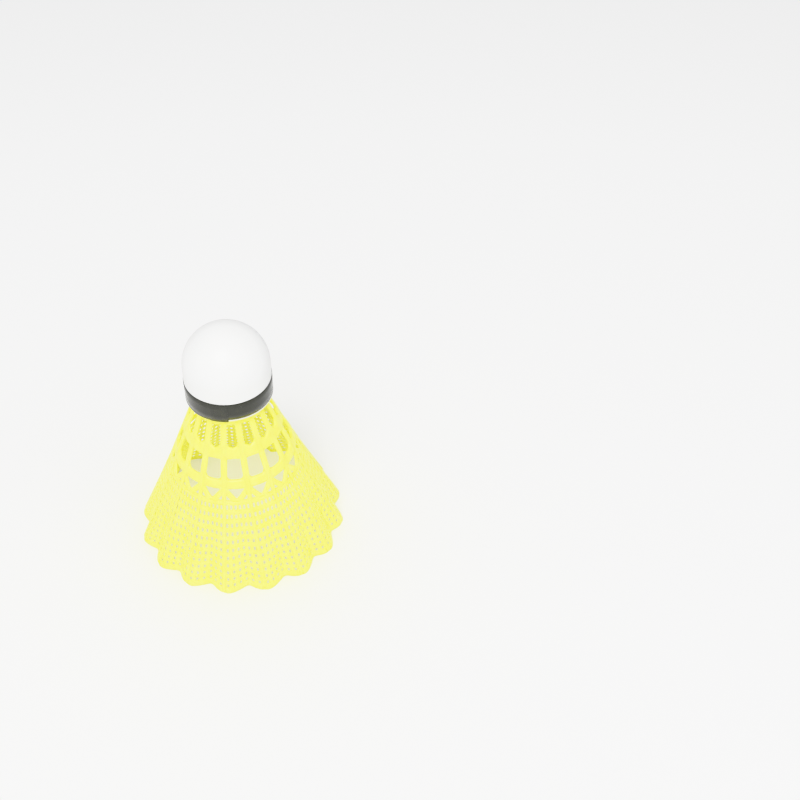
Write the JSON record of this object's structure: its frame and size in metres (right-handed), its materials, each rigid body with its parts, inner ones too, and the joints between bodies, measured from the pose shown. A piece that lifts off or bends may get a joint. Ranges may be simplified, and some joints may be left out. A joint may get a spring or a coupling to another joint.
{
  "type": "badminton shuttlecock",
  "caption": "Nylon shuttlecock: domed covered cork head with a tape band on a conical skirt of stems, rings, windows and fine meshed vanes with a scalloped hem.",
  "frame": {"origin": "on the axis, at the level of the skirt's tips, where the part rests standing head up", "axes": "+Z along the axis from the skirt to the head; the picture is seen from the -Y side"},
  "size_m": [0.0664, 0.0664, 0.0806],
  "materials": {
    "cork": "matt cork composite",
    "head_cover": "smooth satin synthetic leather",
    "tape": "glossy black film tape",
    "nylon": "translucent fluorescent yellow moulded nylon"
  },
  "bodies": {
    "root": {"head_core": "cork", "head_skin": "head_cover", "tape_band": "tape", "skirt_plug": "nylon", "ring_upper": "nylon", "ring_lower": "nylon", "strut_band": "nylon", "stem_01": "nylon", "stem_02": "nylon", "stem_03": "nylon", "stem_04": "nylon", "stem_05": "nylon", "stem_06": "nylon", "stem_07": "nylon", "stem_08": "nylon", "stem_09": "nylon", "stem_10": "nylon", "stem_11": "nylon", "stem_12": "nylon", "stem_13": "nylon", "stem_14": "nylon", "stem_15": "nylon", "stem_16": "nylon", "vane_01": "nylon", "vane_02": "nylon", "vane_03": "nylon", "vane_04": "nylon", "vane_05": "nylon", "vane_06": "nylon", "vane_07": "nylon", "vane_08": "nylon", "vane_09": "nylon", "vane_10": "nylon", "vane_11": "nylon", "vane_12": "nylon", "vane_13": "nylon", "vane_14": "nylon", "vane_15": "nylon", "vane_16": "nylon"}
  },
  "joints": []
}
